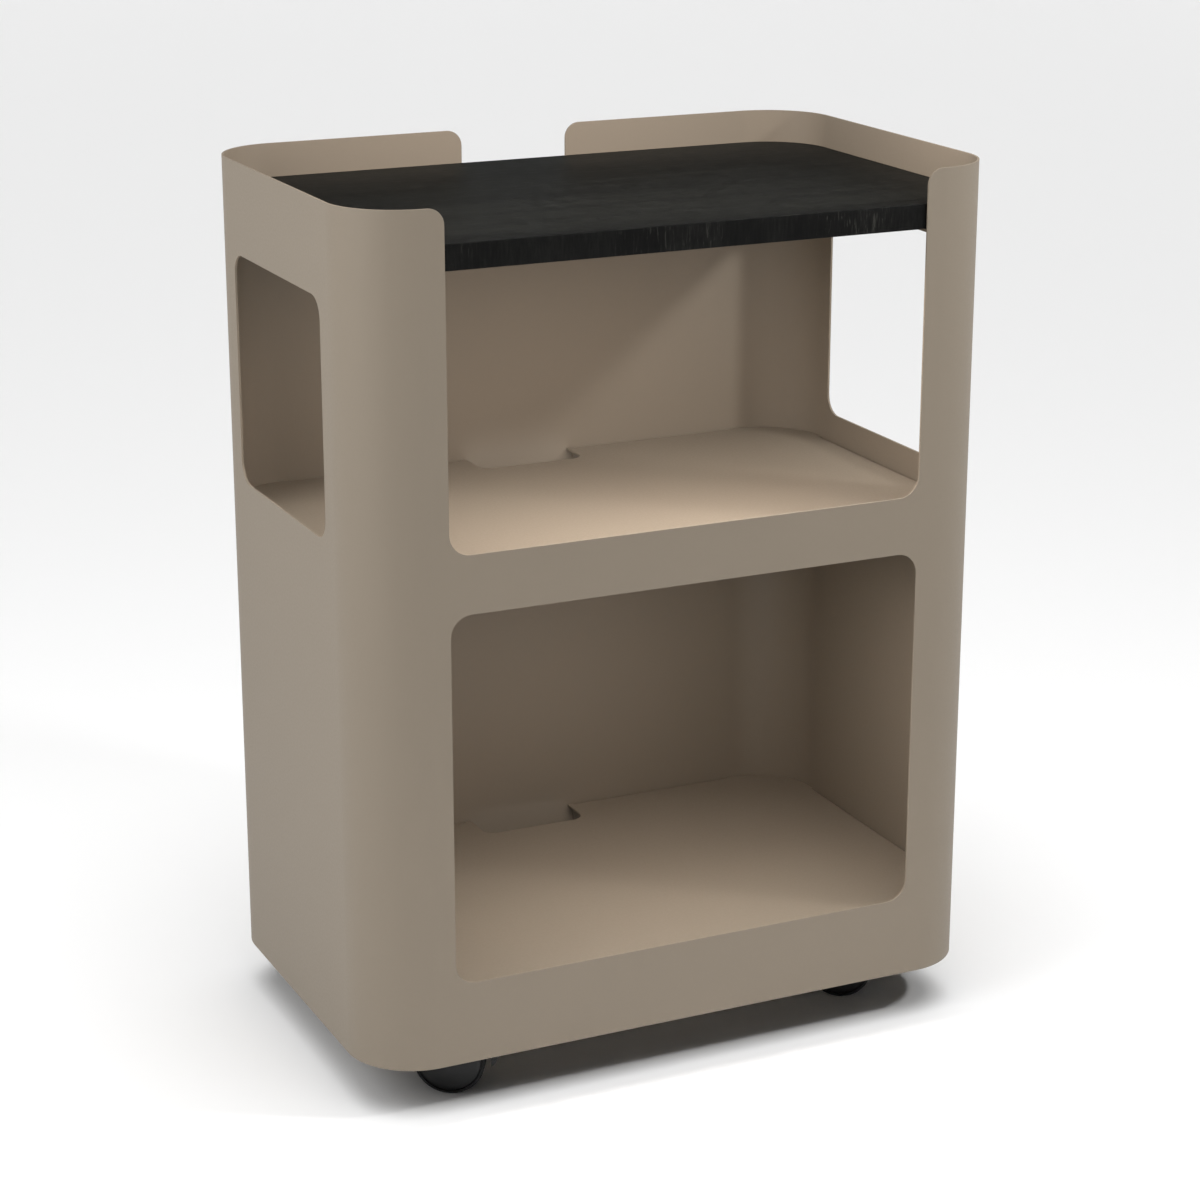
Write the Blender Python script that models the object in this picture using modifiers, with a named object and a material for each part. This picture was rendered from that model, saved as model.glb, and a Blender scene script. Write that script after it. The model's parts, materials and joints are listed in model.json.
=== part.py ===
"""Rolling storage trolley: a wrapped steel shell with two shelves, a wooden top and four twin-wheel casters.

Units are metres and +Z is up. The origin lies on the floor under the middle of the plan, and the open
front faces -Y. Every caster is modelled in its own frame: origin on the floor under the swivel axis,
+X towards the side on which the wheels trail, the axle along Y.
"""

from math import cos, pi, radians, sin, tan

import bmesh
import bpy
from mathutils import Matrix, Vector

# Shell
WIDTH = 0.600
DEPTH = 0.376
SHELL_HEIGHT = 0.746
CLEARANCE = 0.046
CORNER_RADIUS = 0.062
SHEET = 0.002
GAP = 0.0003

# Openings, with heights measured from the shell's lower edge
OPENING_HALF_WIDTH = 0.2225
OPENING_RADIUS = 0.019
RIM_RADIUS = 0.014
LOWER_OPENING_BOTTOM = 0.0745
LOWER_OPENING_TOP = 0.406
UPPER_OPENING_BOTTOM = 0.4575
WINDOW_FRONT = -0.1065
WINDOW_REAR = 0.1105
WINDOW_BOTTOM = 0.459
WINDOW_TOP = 0.665
REAR_NOTCH_HALF_WIDTH = 0.0525
REAR_NOTCH_BOTTOM = 0.698

# Shelves
MIDDLE_SHELF_TOP = 0.4325
BOTTOM_SHELF_TOP = 0.063
SHELF_FLANGE = 0.020
SHELF_BEND = 0.004
FLANGE_RELIEF = 0.006
CABLE_NOTCH_DEPTH = 0.040
CABLE_NOTCH_RADIUS = 0.012

# Top board and the rails that carry it
BOARD_TOP = 0.716
BOARD_THICKNESS = 0.022
BOARD_GAP = 0.0007
RAIL_LENGTH = 0.200
RAIL_LEG = 0.020
RAIL_SCREW_PLACES = (-0.075, 0.0, 0.075)
RAIL_SCREW_INSET = 0.012
SCREW_RADIUS = 0.0017
SCREW_LENGTH = 0.011
SCREW_HEAD_RADIUS = 0.0038
SCREW_HEAD_HEIGHT = 0.0025
PILOT_RADIUS = 0.0021
PILOT_DEPTH = 0.012
RAIL_HOLE_RADIUS = 0.0024

# Casters
WHEEL_RADIUS = 0.0315
WHEEL_WIDTH = 0.016
WHEEL_INSIDE = 0.0073
TREAD_DEPTH = 0.0035
TRAIL = 0.024
CASTER_HEIGHT = 0.080
CASTER_X = 0.225
CASTER_Y = 0.1195
AXLE_RADIUS = 0.003
STEM_RADIUS = 0.004
STEM_TOP = 0.0915
STEM_FOOT = 0.0435
STEM_CHAMFER = 0.001
COLLAR_RADIUS = 0.009
COLLAR_HEIGHT = 0.0055
NUT_RADIUS = 0.0075
NUT_HEIGHT = 0.0065
HOOD_INSIDE = 0.0342
HOOD_OUTSIDE = 0.0370
HOOD_HALF_WIDTH = 0.024
HOOD_END = 38
BRAKED_HOOD_END = 52
WEB_HALF_WIDTH = 0.0068
AXLE_BOSS_RADIUS = 0.009
SWIVEL_BOSS_RADIUS = 0.0105
SWIVEL_BOSS_LOW = 0.0605
PEDAL_PIVOT_ANGLE = radians(45)
PEDAL_PIVOT_RADIUS = 0.0385
PEDAL_HALF_WIDTH = 0.0125
PEDAL_BARREL_RADIUS = 0.0036
PEDAL_PIN_RADIUS = 0.0015
EAR_RADIUS = 0.0042
EAR_WIDTH = 0.0032
CHANNEL_HALF_WIDTH = 0.028
CHANNEL_FLANGE = 0.014
CHANNEL_LENGTH = 0.330

# Each caster's place on the plan, the way that its wheels trail, and whether it has a brake
CASTERS = {
    "front_left": (-1, -1, radians(-30.5), True),
    "front_right": (1, -1, radians(139), True),
    "rear_left": (-1, 1, radians(-12), False),
    "rear_right": (1, 1, radians(152), False),
}

# How finely arcs are drawn, and how far a cutter runs through the wall that it cuts
ARC_STEPS = 5
CORNER_STEPS = 8
FINE_STEPS = 10
CUT_THROUGH = 0.030
BORE_THROUGH = 0.060


def clear_scene():
    """Takes everything out of the startup scene."""
    for item in list(bpy.data.objects):
        bpy.data.objects.remove(item)


def new_collection(name, hidden=False):
    collection = bpy.data.collections.new(name)
    bpy.context.scene.collection.children.link(collection)
    collection.hide_render = hidden
    return collection


def new_material(name, colour, roughness, metallic=0.0):
    material = bpy.data.materials.new(name)
    material.use_nodes = True
    shader = material.node_tree.nodes["Principled BSDF"]
    shader.inputs["Base Color"].default_value = (*colour, 1.0)
    shader.inputs["Roughness"].default_value = roughness
    shader.inputs["Metallic"].default_value = metallic
    return material


def add_object(name, mesh, collection, material=None, parent=None):
    item = bpy.data.objects.new(name, mesh)
    collection.objects.link(item)
    item.parent = parent
    if material:
        mesh.materials.clear()
        mesh.materials.append(material)
    return item


def finished(item, angle=30):
    """Shades the piece smooth, apart from its sharp edges."""
    item.data.shade_smooth()
    item.data.set_sharp_from_angle(angle=radians(angle))
    return item


def hide_helper(item):
    item.hide_render = True
    item.display_type = "WIRE"
    return item


def baked_mesh(item):
    """The evaluated mesh of an object, with its doubles welded. The object itself is removed."""
    bpy.context.view_layer.update()
    graph = bpy.context.evaluated_depsgraph_get()
    mesh = bpy.data.meshes.new_from_object(item.evaluated_get(graph))
    bpy.data.objects.remove(item)
    shape = bmesh.new()
    shape.from_mesh(mesh)
    bmesh.ops.remove_doubles(shape, verts=shape.verts, dist=0.00001)
    bmesh.ops.recalc_face_normals(shape, faces=shape.faces)
    shape.to_mesh(mesh)
    shape.free()
    return mesh


def rounded_outline(corners, steps=ARC_STEPS):
    """A closed outline through corners (x, y, radius), each rounded by an arc tangent to both its sides."""
    points = []
    for index, (x, y, radius) in enumerate(corners):
        corner = Vector((x, y))
        if radius == 0:
            points.append(corner)
            continue
        before = (Vector(corners[index - 1][:2]) - corner).normalized()
        after = (Vector(corners[(index + 1) % len(corners)][:2]) - corner).normalized()
        half_angle = before.angle(after) / 2
        centre = corner + (before + after).normalized() * radius / sin(half_angle)
        start = corner + before * radius / tan(half_angle) - centre
        end = corner + after * radius / tan(half_angle) - centre
        turn = start.angle_signed(end)
        points += [centre + Matrix.Rotation(-turn * step / steps, 2) @ start for step in range(steps + 1)]
    return points


def arc(radius, start, end, steps=ARC_STEPS, centre=(0, 0)):
    """Points along a circular arc, its angles in degrees."""
    angles = [radians(start + (end - start) * step / steps) for step in range(steps + 1)]
    return [Vector((centre[0] + radius * cos(angle), centre[1] + radius * sin(angle))) for angle in angles]


def prism_mesh(outline, thickness):
    """A flat outline given a thickness, half of it on each side of its plane."""
    curve = bpy.data.curves.new("outline", "CURVE")
    curve.dimensions = "2D"
    curve.fill_mode = "BOTH"
    curve.extrude = thickness / 2
    spline = curve.splines.new("POLY")
    spline.points.add(len(outline) - 1)
    for point, place in zip(spline.points, outline):
        point.co = (place[0], place[1], 0, 1)
    spline.use_cyclic_u = True
    item = bpy.data.objects.new("outline", curve)
    bpy.context.scene.collection.objects.link(item)
    mesh = baked_mesh(item)
    bpy.data.curves.remove(curve)
    return mesh


def turned_mesh(profile, steps=24, closed=True):
    """A profile of (radius, height) points turned about Z. It runs down its outer side."""
    shape = bmesh.new()
    points = [shape.verts.new((radius, 0, height)) for radius, height in profile]
    for start, end in zip(points, points[1:]):
        shape.edges.new((start, end))
    if closed:
        shape.edges.new((points[-1], points[0]))
    mesh = bpy.data.meshes.new("profile")
    shape.to_mesh(mesh)
    shape.free()
    item = bpy.data.objects.new("profile", mesh)
    bpy.context.scene.collection.objects.link(item)
    screw = item.modifiers.new("Turn", "SCREW")
    screw.steps = steps
    screw.render_steps = steps
    screw.use_merge_vertices = True
    screw.merge_threshold = 0.00001
    return baked_mesh(item)


def rod_mesh(radius, length, steps=16):
    """A plain rod centred on the origin, along Z."""
    half = length / 2
    return turned_mesh([(0, half), (radius, half), (radius, -half), (0, -half)], steps, False)


def grouped_mesh(mesh, places):
    """Copies of a mesh at the given places, kept as separate solids of one mesh."""
    group = bmesh.new()
    for place in places:
        copy = mesh.copy()
        copy.transform(Matrix.Translation(place))
        group.from_mesh(copy)
        bpy.data.meshes.remove(copy)
    joined = bpy.data.meshes.new(mesh.name)
    group.to_mesh(joined)
    group.free()
    return joined


def strip_mesh(line, length):
    """An open line of (x, z) points drawn out along Y, with its faces turned to the line's left."""
    shape = bmesh.new()
    points = [shape.verts.new((x, -length / 2, z)) for x, z in line]
    edges = [shape.edges.new(pair) for pair in zip(points, points[1:])]
    drawn = bmesh.ops.extrude_edge_only(shape, edges=edges)["geom"]
    far = [part for part in drawn if isinstance(part, bmesh.types.BMVert)]
    bmesh.ops.translate(shape, verts=far, vec=(0, length, 0))
    mesh = bpy.data.meshes.new("strip")
    shape.to_mesh(mesh)
    shape.free()
    return mesh


def thicken(item, thickness, offset=-1):
    solidify = item.modifiers.new("Sheet", "SOLIDIFY")
    solidify.thickness = thickness
    solidify.offset = offset
    solidify.use_even_offset = True
    return item


def combine(item, other, operation):
    boolean = item.modifiers.new(operation.title(), "BOOLEAN")
    boolean.operation = operation
    boolean.solver = "EXACT"
    boolean.object = hide_helper(other)


def facing_front(item):
    """Stands a piece drawn in the XY plane up, so that its Y becomes Z."""
    item.rotation_euler = (pi / 2, 0, 0)
    return item


def facing_side(item):
    """Stands a piece drawn in the XY plane up, its X becoming Y and its Y becoming Z."""
    item.rotation_euler = (pi / 2, 0, pi / 2)
    return item


def plan_outline(inset, steps=CORNER_STEPS):
    """The shell's plan, moved inwards by an inset."""
    x = WIDTH / 2 - inset
    y = DEPTH / 2 - inset
    radius = CORNER_RADIUS - inset
    return rounded_outline([(-x, -y, radius), (x, -y, radius), (x, y, radius), (-x, y, radius)], steps)


# Shell


def make_body_shell(collection, cutters, material):
    """The wrapped sheet, cut by the front openings, the two side windows and the rear notch."""
    shape = bmesh.new()
    points = [shape.verts.new((x, y, CLEARANCE)) for x, y in plan_outline(0)]
    edges = [shape.edges.new(pair) for pair in zip(points, points[1:] + points[:1])]
    raised = bmesh.ops.extrude_edge_only(shape, edges=edges)["geom"]
    upper = [part for part in raised if isinstance(part, bmesh.types.BMVert)]
    bmesh.ops.translate(shape, verts=upper, vec=(0, 0, SHELL_HEIGHT))
    bmesh.ops.recalc_face_normals(shape, faces=shape.faces)
    mesh = bpy.data.meshes.new("body_shell")
    shape.to_mesh(mesh)
    shape.free()
    shell = thicken(add_object("body_shell", mesh, collection, material), SHEET)
    for cutter in shell_cutters(cutters):
        combine(shell, cutter, "DIFFERENCE")
    return finished(shell)


def shell_cutters(cutters):
    """The solids that cut the shell: three drawn on its front and back, and one window drawn on each side."""
    wall_y = (DEPTH - SHEET) / 2
    wall_x = (WIDTH - SHEET) / 2
    front_upper = slot_open_at_rim(OPENING_HALF_WIDTH, UPPER_OPENING_BOTTOM, OPENING_RADIUS)
    front_lower = rounded_box(-OPENING_HALF_WIDTH, OPENING_HALF_WIDTH, LOWER_OPENING_BOTTOM, LOWER_OPENING_TOP)
    rear_notch = slot_open_at_rim(REAR_NOTCH_HALF_WIDTH, REAR_NOTCH_BOTTOM, RIM_RADIUS)
    window = rounded_box(WINDOW_FRONT, WINDOW_REAR, WINDOW_BOTTOM, WINDOW_TOP)
    made = []
    for name, outline, y in (
        ("front_upper_cut", front_upper, -wall_y),
        ("front_lower_cut", front_lower, -wall_y),
        ("rear_notch_cut", rear_notch, wall_y),
    ):
        cutter = facing_front(add_object(name, prism_mesh(outline, CUT_THROUGH), cutters))
        cutter.location = (0, y, CLEARANCE)
        made.append(cutter)
    for name, x in (("left_window_cut", -wall_x), ("right_window_cut", wall_x)):
        cutter = facing_side(add_object(name, prism_mesh(window, CUT_THROUGH), cutters))
        cutter.location = (x, 0, CLEARANCE)
        made.append(cutter)
    return made


def rounded_box(low_x, high_x, low_z, high_z, radius=OPENING_RADIUS):
    corners = ((low_x, low_z), (high_x, low_z), (high_x, high_z), (low_x, high_z))
    return rounded_outline([(x, z, radius) for x, z in corners])


def slot_open_at_rim(half_width, bottom, bottom_radius):
    """An opening that runs out through the rim, whose free corners are rounded as well."""
    flare = half_width + 1.001 * RIM_RADIUS
    right = [
        (half_width, bottom, bottom_radius),
        (half_width, SHELL_HEIGHT, RIM_RADIUS),
        (flare, SHELL_HEIGHT, 0),
        (flare, SHELL_HEIGHT + CUT_THROUGH, 0),
    ]
    left = [(-x, z, radius) for x, z, radius in reversed(right)]
    return rounded_outline(right + left)


# Shelves


def shelf_outline():
    """The flat part of a shelf: out to the wall at the corners, set back by the bend along each fold."""
    reach_x = WIDTH / 2 - SHEET - GAP
    reach_y = DEPTH / 2 - SHEET - GAP
    radius = CORNER_RADIUS - SHEET - GAP
    fold_x = reach_x - SHELF_BEND
    fold_y = reach_y - SHELF_BEND
    end_x = reach_x - radius - FLANGE_RELIEF
    end_y = reach_y - radius - FLANGE_RELIEF
    notch = REAR_NOTCH_HALF_WIDTH
    notch_front = reach_y - CABLE_NOTCH_DEPTH
    right = [
        (end_x, -fold_y, 0),
        (end_x, -reach_y, 0),
        (reach_x, -reach_y, radius),
        (reach_x, -end_y, 0),
        (fold_x, -end_y, 0),
        (fold_x, end_y, 0),
        (reach_x, end_y, 0),
        (reach_x, reach_y, radius),
        (end_x, reach_y, 0),
        (end_x, fold_y, 0),
        (notch + FLANGE_RELIEF, fold_y, 0),
        (notch + FLANGE_RELIEF, reach_y, 0),
        (notch, reach_y, 0),
        (notch, notch_front, CABLE_NOTCH_RADIUS),
    ]
    left = [(-x, y, corner) for x, y, corner in reversed(right)]
    return rounded_outline(right + left, steps=8)


def is_folded(edge, fold_x, fold_y):
    """True for an edge of the flat part that carries a flange: one that lies along a fold line."""
    start, end = (vertex.co for vertex in edge.verts)
    on_side = abs(abs(start.x) - fold_x) < GAP and abs(abs(end.x) - fold_x) < GAP
    on_end = abs(abs(start.y) - fold_y) < GAP and abs(abs(end.y) - fold_y) < GAP
    return on_side or on_end


def make_shelf(name, top, collection, material):
    """One pressing: a flat sheet whose straight edges bend down into flanges."""
    fold_x = WIDTH / 2 - SHEET - GAP - SHELF_BEND
    fold_y = DEPTH / 2 - SHEET - GAP - SHELF_BEND
    shape = bmesh.new()
    flat = shape.faces.new([shape.verts.new((x, y, 0)) for x, y in shelf_outline()])
    flat.normal_update()
    if flat.normal.z < 0:
        flat.normal_flip()
    for edge in [edge for edge in shape.edges if is_folded(edge, fold_x, fold_y)]:
        middle = (edge.verts[0].co + edge.verts[1].co) / 2
        along_x = abs(abs(middle.x) - fold_x) < GAP
        outward = Vector((middle.x, 0, 0)) if along_x else Vector((0, middle.y, 0))
        fold_down(shape, edge, outward.normalized())
    bmesh.ops.translate(shape, verts=shape.verts, vec=(0, 0, CLEARANCE + top))
    mesh = bpy.data.meshes.new(name)
    shape.to_mesh(mesh)
    shape.free()
    return finished(thicken(add_object(name, mesh, collection, material), SHEET))


def fold_down(shape, edge, outward, steps=3):
    """Draws an edge out through a quarter bend and then straight down to the flange's lower edge."""
    heading = [(pi / 2) * (step + 0.5) / steps for step in range(steps)]
    chord = 2 * SHELF_BEND * sin(pi / 4 / steps)
    moves = [outward * chord * cos(angle) - Vector((0, 0, chord * sin(angle))) for angle in heading]
    moves.append(Vector((0, 0, SHELF_BEND - SHELF_FLANGE)))
    for move in moves:
        drawn = bmesh.ops.extrude_edge_only(shape, edges=[edge])["geom"]
        ends = [part for part in drawn if isinstance(part, bmesh.types.BMVert)]
        bmesh.ops.translate(shape, verts=ends, vec=move)
        edge = shape.edges.get(ends)


# Top board


def rail_screw_x():
    return WIDTH / 2 - SHEET - GAP - RAIL_SCREW_INSET


def make_top_board(collection, cutters, material):
    """The board fills the shell's plan, with pilot holes for the screws of both rails."""
    outline = plan_outline(SHEET + BOARD_GAP)
    board = add_object("top_board", prism_mesh(outline, BOARD_THICKNESS), collection, material)
    board.location.z = CLEARANCE + BOARD_TOP - BOARD_THICKNESS / 2
    hole = rod_mesh(PILOT_RADIUS, 2 * PILOT_DEPTH, 12)
    places = [(side * rail_screw_x(), y, 0) for side in (-1, 1) for y in RAIL_SCREW_PLACES]
    holes = add_object("board_pilot_holes", grouped_mesh(hole, places), cutters)
    holes.location.z = CLEARANCE + BOARD_TOP - BOARD_THICKNESS
    combine(board, holes, "DIFFERENCE")
    return finished(board)


def make_board_rail(side_name, side, collection, cutters, material):
    """An angle against the side wall, with clearance holes for three screws."""
    wall = side * (WIDTH / 2 - SHEET - GAP)
    under_board = CLEARANCE + BOARD_TOP - BOARD_THICKNESS - GAP
    line = [(wall, under_board - RAIL_LEG), (wall, under_board), (wall - side * RAIL_LEG, under_board)]
    rail = add_object(f"{side_name}_board_rail", strip_mesh(line, RAIL_LENGTH), collection, material)
    thicken(rail, SHEET, offset=-side)
    places = [(side * rail_screw_x(), y, under_board) for y in RAIL_SCREW_PLACES]
    hole = rod_mesh(RAIL_HOLE_RADIUS, CUT_THROUGH, 12)
    holes = add_object(f"{side_name}_rail_holes", grouped_mesh(hole, places), cutters)
    combine(rail, holes, "DIFFERENCE")
    return finished(rail)


def make_rail_screws(side_name, side, collection, material):
    """Pan head screws that pass up through the rail into the board."""
    under_rail = CLEARANCE + BOARD_TOP - BOARD_THICKNESS - GAP - SHEET - GAP
    head = [
        (SCREW_HEAD_RADIUS, 0),
        (SCREW_HEAD_RADIUS, -SCREW_HEAD_HEIGHT / 2),
        (SCREW_HEAD_RADIUS * 0.65, -SCREW_HEAD_HEIGHT),
        (0, -SCREW_HEAD_HEIGHT),
    ]
    mesh = turned_mesh([(0, SCREW_LENGTH), (SCREW_RADIUS, SCREW_LENGTH), (SCREW_RADIUS, 0)] + head, 12, False)
    for number, y in enumerate(RAIL_SCREW_PLACES, 1):
        screw = add_object(f"{side_name}_board_screw_{number}", mesh.copy(), collection, material)
        screw.location = (side * rail_screw_x(), y, under_rail)
        finished(screw)


# Caster channels


def make_caster_channel(side_name, side, collection, cutters, material):
    """A hat section under the bottom shelf, open upwards, with a hole for the stem of each of two casters."""
    low = CASTER_HEIGHT + GAP
    high = CLEARANCE + BOTTOM_SHELF_TOP - 2 * SHEET - GAP
    inner = CHANNEL_HALF_WIDTH
    outer = CHANNEL_HALF_WIDTH + CHANNEL_FLANGE
    line = [(-outer, high), (-inner, high), (-inner, low), (inner, low), (inner, high), (outer, high)]
    channel = add_object(f"{side_name}_caster_channel", strip_mesh(line, CHANNEL_LENGTH), collection, material)
    channel.location.x = side * CASTER_X
    thicken(channel, SHEET)
    places = [(side * CASTER_X, end * CASTER_Y, low) for end in (-1, 1)]
    hole = rod_mesh(STEM_RADIUS + GAP, CUT_THROUGH)
    holes = add_object(f"{side_name}_channel_holes", grouped_mesh(hole, places), cutters)
    combine(channel, holes, "DIFFERENCE")
    return finished(channel)


# Casters


def around_axle(outline):
    """Moves an outline drawn about the axle to the caster's own frame."""
    return [(x + TRAIL, z + WHEEL_RADIUS) for x, z in outline]


def make_stem(name, place, collection, material):
    """The stem: a pin that the hood turns on, a collar under the channel and a threaded end through it."""
    under_collar = CASTER_HEIGHT - COLLAR_HEIGHT
    profile = [
        (0, STEM_TOP),
        (STEM_RADIUS - STEM_CHAMFER, STEM_TOP),
        (STEM_RADIUS, STEM_TOP - STEM_CHAMFER),
        (STEM_RADIUS, CASTER_HEIGHT),
        (COLLAR_RADIUS, CASTER_HEIGHT),
        (COLLAR_RADIUS, under_collar),
        (STEM_RADIUS, under_collar),
        (STEM_RADIUS, STEM_FOOT + STEM_CHAMFER),
        (STEM_RADIUS - STEM_CHAMFER, STEM_FOOT),
        (0, STEM_FOOT),
    ]
    mesh = turned_mesh(profile, 20, False)
    return finished(add_object(f"{name}_stem", mesh, collection, material, place))


def make_weld_nut(name, place, collection, cutters, material):
    """The hexagonal nut welded on the channel's web, which takes the stem's thread."""
    nut = add_object(f"{name}_weld_nut", rod_mesh(NUT_RADIUS, NUT_HEIGHT, 6), collection, material, place)
    nut.location.z = CASTER_HEIGHT + SHEET + 2 * GAP + NUT_HEIGHT / 2
    bore = rod_mesh(STEM_RADIUS + GAP, 2 * NUT_HEIGHT)
    combine(nut, add_object(f"{name}_nut_bore", bore, cutters, parent=nut), "DIFFERENCE")
    return finished(nut)


def make_hood(name, swivel, braked, collection, cutters, material):
    """The moulding: a web between the wheels, an arched cover over them and the boss round the swivel pin."""
    end = BRAKED_HOOD_END if braked else HOOD_END
    web = arc(HOOD_INSIDE + 0.001, end + 2, 178, 9) + arc(AXLE_BOSS_RADIUS, 205, 395, 7)
    web_mesh = prism_mesh(around_axle(web), 2 * WEB_HALF_WIDTH)
    hood = facing_front(add_object(f"{name}_hood", web_mesh, collection, material, swivel))
    cover = arc(HOOD_OUTSIDE, end, 180, 14) + arc(HOOD_INSIDE, 180, end, 14)
    cover_mesh = prism_mesh(around_axle(cover), 2 * HOOD_HALF_WIDTH)
    combine(hood, facing_front(add_object(f"{name}_cover_form", cover_mesh, cutters, parent=swivel)), "UNION")
    boss_top = CASTER_HEIGHT - COLLAR_HEIGHT - GAP
    boss_mesh = rod_mesh(SWIVEL_BOSS_RADIUS, boss_top - SWIVEL_BOSS_LOW, 20)
    boss = add_object(f"{name}_boss_form", boss_mesh, cutters, parent=swivel)
    boss.location.z = (boss_top + SWIVEL_BOSS_LOW) / 2
    combine(hood, boss, "UNION")
    if braked:
        for form in pedal_ears(name, swivel, cutters):
            combine(hood, form, "UNION")
    for cutter in hood_bores(name, swivel, braked, cutters):
        combine(hood, cutter, "DIFFERENCE")
    return finished(hood)


def pedal_pivot():
    return (PEDAL_PIVOT_RADIUS * cos(PEDAL_PIVOT_ANGLE), PEDAL_PIVOT_RADIUS * sin(PEDAL_PIVOT_ANGLE))


def pedal_ears(name, swivel, cutters):
    """Two lugs that run from the end of the hood's cover round the pedal's pin."""
    root = arc(HOOD_INSIDE + 0.0004, 50, 62, 2) + arc(HOOD_OUTSIDE - 0.0004, 62, 58, 1)
    outline = arc(EAR_RADIUS, 100, -100, 7, pedal_pivot()) + root
    for end, side in (("near", -1), ("far", 1)):
        mesh = prism_mesh(around_axle(outline), EAR_WIDTH)
        ear = facing_front(add_object(f"{name}_{end}_ear_form", mesh, cutters, parent=swivel))
        ear.location.y = side * (PEDAL_HALF_WIDTH + GAP + EAR_WIDTH / 2)
        yield ear


def hood_bores(name, swivel, braked, cutters):
    """The bores for the axle and the swivel pin and, on a braked caster, for the pedal's pin."""
    axle_bore = rod_mesh(AXLE_RADIUS + GAP, BORE_THROUGH)
    axle = facing_front(add_object(f"{name}_axle_bore", axle_bore, cutters, parent=swivel))
    axle.location = (TRAIL, 0, WHEEL_RADIUS)
    yield axle
    pin_bore = rod_mesh(STEM_RADIUS + GAP, BORE_THROUGH)
    pin = add_object(f"{name}_pin_bore", pin_bore, cutters, parent=swivel)
    pin.location.z = STEM_FOOT - STEM_CHAMFER / 2 + BORE_THROUGH / 2
    yield pin
    if braked:
        pedal_bore = rod_mesh(PEDAL_PIN_RADIUS + GAP, BORE_THROUGH, FINE_STEPS)
        pedal = facing_front(add_object(f"{name}_pedal_bore", pedal_bore, cutters, parent=swivel))
        pedal.location = (TRAIL + pedal_pivot()[0], 0, WHEEL_RADIUS + pedal_pivot()[1])
        yield pedal


def make_axle(name, swivel, collection, material):
    length = 2 * (WHEEL_INSIDE + WHEEL_WIDTH) - 0.001
    axle = facing_front(add_object(f"{name}_axle", rod_mesh(AXLE_RADIUS, length), collection, material, swivel))
    axle.location = (TRAIL, 0, WHEEL_RADIUS)
    return finished(axle)


def hub_profile():
    """A plain closed disc, slightly domed outwards. Height 0 is the hollow face that looks to the hood's web."""
    rim = WHEEL_RADIUS - TREAD_DEPTH
    bore = AXLE_RADIUS + GAP
    return [
        (rim, WHEEL_WIDTH - 0.001),
        (rim, 0.001),
        (rim - 0.003, 0.001),
        (0.0085, 0.004),
        (0.0075, 0),
        (bore, 0),
        (bore, WHEEL_WIDTH),
        (rim / 2, WHEEL_WIDTH - 0.0002),
        (rim * 0.9, WHEEL_WIDTH - 0.0006),
    ]


def tread_profile():
    """A tyre with rounded shoulders that sits on the hub's rim."""
    inside = WHEEL_RADIUS - TREAD_DEPTH + GAP
    middle = WHEEL_WIDTH / 2
    return [
        (WHEEL_RADIUS, middle + 0.0050),
        (WHEEL_RADIUS, middle - 0.0050),
        (WHEEL_RADIUS - 0.0018, middle - 0.0078),
        (inside, middle - 0.0078),
        (inside, middle + 0.0078),
        (WHEEL_RADIUS - 0.0018, middle + 0.0078),
    ]


def make_wheel(name, side_name, side, swivel, meshes, collection, materials):
    """One hub and its tread, on an empty that lies on the axle."""
    centre = bpy.data.objects.new(f"{name}_{side_name}_wheel_centre", None)
    collection.objects.link(centre)
    centre.parent = swivel
    centre.location = (TRAIL, side * WHEEL_INSIDE, WHEEL_RADIUS)
    centre.rotation_euler = (-side * pi / 2, 0, 0)
    for part in ("hub", "tread"):
        piece = f"{name}_{side_name}_{part}"
        finished(add_object(piece, meshes[part].copy(), collection, materials[part], centre))


def pedal_outline():
    """The pedal's section about the axle: a claw that hugs the wheels and ends in a barrel round its pin."""
    pivot = pedal_pivot()
    barrel = arc(PEDAL_BARREL_RADIUS, 215, 55, 7, pivot)
    outside = arc(0.0425, 38, 2, 5)
    tip = [(0.0405, -0.0035), (0.0383, -0.0068), (0.0363, -0.0085), (0.0358, -0.0080)]
    inside = arc(0.0362, 0, 36, 5)
    return barrel + outside + tip + inside


def make_pedal(name, swivel, collection, cutters, materials):
    """The brake pedal and the pin that it hinges on. Their empty lies on the hinge axis."""
    hinge = bpy.data.objects.new(f"{name}_pedal_hinge", None)
    collection.objects.link(hinge)
    hinge.parent = swivel
    x, z = pedal_pivot()
    hinge.location = (TRAIL + x, 0, WHEEL_RADIUS + z)
    outline = [(point[0] - x, point[1] - z) for point in pedal_outline()]
    mesh = prism_mesh(outline, 2 * PEDAL_HALF_WIDTH)
    pedal = facing_front(add_object(f"{name}_brake_pedal", mesh, collection, materials["hub"], hinge))
    bore = rod_mesh(PEDAL_PIN_RADIUS + GAP, BORE_THROUGH, FINE_STEPS)
    combine(pedal, facing_front(add_object(f"{name}_barrel_bore", bore, cutters, parent=hinge)), "DIFFERENCE")
    finished(pedal)
    pin_mesh = rod_mesh(PEDAL_PIN_RADIUS, 2 * (PEDAL_HALF_WIDTH + EAR_WIDTH + GAP), FINE_STEPS)
    finished(facing_front(add_object(f"{name}_pedal_pin", pin_mesh, collection, materials["zinc"], hinge)))


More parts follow.
